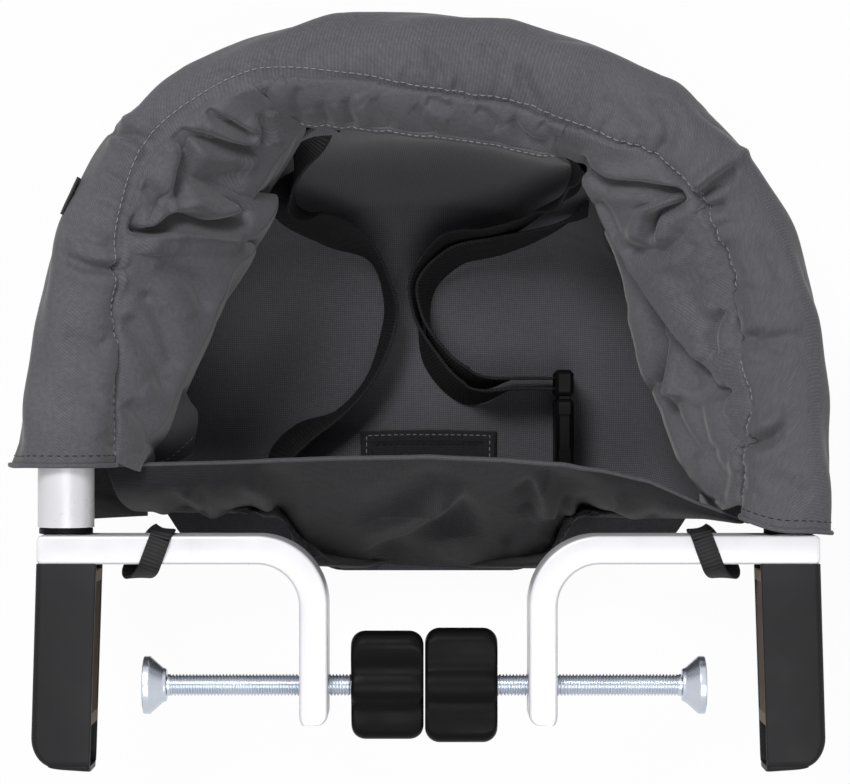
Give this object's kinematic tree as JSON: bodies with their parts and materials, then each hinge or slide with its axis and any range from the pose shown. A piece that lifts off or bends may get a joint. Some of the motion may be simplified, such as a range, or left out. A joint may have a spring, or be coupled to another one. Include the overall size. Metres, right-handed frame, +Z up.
{
  "type": "hook-on table chair",
  "caption": "Child's clip-on table seat: fabric bucket on a U-shaped tube with two swivelling screw clamps, belt and buckle, clamps swung inward as stored.",
  "frame": {"origin": "midway between the two clamps, on the front face of their bars, level with the tube's centre line", "axes": "+X to the right along the table edge, +Y away from the table towards the seat's back, +Z up"},
  "size_m": [0.3684, 0.34, 0.1754],
  "materials": {
    "silver_paint": "satin silver-white powder coat",
    "zinc_steel": "bright zinc plate",
    "black_plastic": "fine moulded grain",
    "grip_rubber": "matt, ribbed",
    "grey_twill": "woven twill with stitched seams",
    "dark_mesh": "open-cell mesh",
    "black_cloth": "plain weave",
    "black_webbing": "ribbed webbing"
  },
  "bodies": {
    "seat_frame": {"frame_tube": "silver_paint", "left_bush": "black_plastic", "right_bush": "black_plastic", "rim_cover": "grey_twill", "left_gusset": "grey_twill", "right_gusset": "grey_twill", "mesh_liner": "dark_mesh", "outer_wall": "black_cloth", "outer_bottom": "black_cloth", "front_panel": "black_cloth", "base_tab": "black_cloth", "side_flap": "black_cloth", "side_tag": "black_webbing", "left_belt": "black_webbing", "right_belt": "black_webbing", "belt_tail": "black_webbing", "buckle_body": "black_plastic"},
    "left_clamp": {"left_bar": "silver_paint", "left_arm_core": "silver_paint", "left_arm_shell": "black_plastic", "left_grip_pad": "grip_rubber", "left_spigot": "zinc_steel", "left_stop_pin": "zinc_steel", "left_strap_loop": "black_webbing"},
    "left_foot_body": {"left_foot": "zinc_steel"},
    "left_screw_body": {"left_screw": "zinc_steel", "left_knob": "black_plastic"},
    "right_clamp": {"right_bar": "silver_paint", "right_arm_core": "silver_paint", "right_arm_shell": "black_plastic", "right_grip_pad": "grip_rubber", "right_spigot": "zinc_steel", "right_stop_pin": "zinc_steel", "right_strap_loop": "black_webbing"},
    "right_foot_body": {"right_foot": "zinc_steel"},
    "right_screw_body": {"right_screw": "zinc_steel", "right_knob": "black_plastic"},
    "buckle_tongue_body": {"buckle_tongue": "black_plastic", "belt_fold": "black_webbing"}
  },
  "joints": [
    {"name": "left_swing", "type": "hinge", "parent": "seat_frame", "child": "left_clamp", "pos_m": [-0.163, 0.0278, 0], "axis": [0, 1, 0], "range_deg": [0, 90]},
    {"name": "left_travel", "type": "slide", "parent": "left_clamp", "child": "left_foot_body", "axis": [-1, 0, 0], "range_m": [0, 0.0095]},
    {"name": "left_turn", "type": "hinge", "parent": "left_foot_body", "child": "left_screw_body", "pos_m": [-0.128, -0.055, 0], "axis": [-1, 0, 0], "range_deg": [0, 2280]},
    {"name": "right_swing", "type": "hinge", "parent": "seat_frame", "child": "right_clamp", "pos_m": [0.163, 0.0278, 0], "axis": [0, -1, 0], "range_deg": [0, 90]},
    {"name": "right_travel", "type": "slide", "parent": "right_clamp", "child": "right_foot_body", "axis": [1, 0, 0], "range_m": [0, 0.0095]},
    {"name": "right_turn", "type": "hinge", "parent": "right_foot_body", "child": "right_screw_body", "pos_m": [0.1244, -0.055, 0], "axis": [1, 0, 0], "range_deg": [0, 2280]},
    {"name": "buckle_release", "type": "slide", "parent": "seat_frame", "child": "buckle_tongue_body", "axis": [0, 1, 0], "range_m": [0, 0.022]}
  ],
  "couplings": [
    {"joint": "left_turn", "follows": "left_travel", "rad_per_m": 4188.8},
    {"joint": "right_turn", "follows": "right_travel", "rad_per_m": 4188.8}
  ]
}
